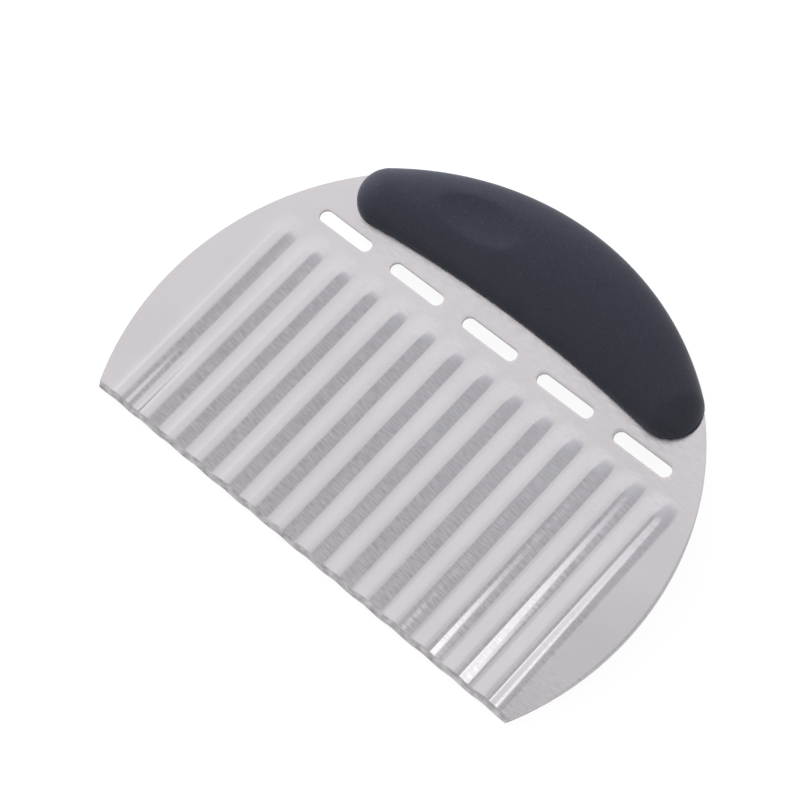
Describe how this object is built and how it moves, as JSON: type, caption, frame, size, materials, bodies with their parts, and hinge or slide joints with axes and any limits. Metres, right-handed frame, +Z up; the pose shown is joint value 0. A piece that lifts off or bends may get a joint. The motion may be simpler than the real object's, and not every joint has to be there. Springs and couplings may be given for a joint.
{
  "type": "crinkle cutter",
  "caption": "Hand-held crinkle cutter: a round-backed corrugated steel blade with a straight bevelled edge, a row of slots and a soft-grip handle along its curved back.",
  "frame": {"origin": "middle of the bounding box on the surface that the cutter lies on", "axes": "+Z up, out of the front face of the cutter as it lies on its back; +X along the cutting edge; +Y from the cutting edge to the handle. The blade leans 4.8 degrees about X, because the cutter rests on its cutting edge and on the rear of its handle."},
  "size_m": [0.16, 0.1146, 0.0169],
  "materials": {
    "blade_steel": "fine brushed lines along the cutting edge",
    "grip_rubber": "matte, with a fine moulded grain",
    "core_plastic": "moulded",
    "rivet_steel": "turned"
  },
  "bodies": {
    "root": {"blade": "blade_steel", "soft_grip": "grip_rubber", "core_front": "core_plastic", "core_rear": "core_plastic", "rivet_post_1": "rivet_steel", "rivet_post_2": "rivet_steel", "rivet_post_3": "rivet_steel", "rivet_sleeve_1": "rivet_steel", "rivet_sleeve_2": "rivet_steel", "rivet_sleeve_3": "rivet_steel"}
  },
  "joints": []
}
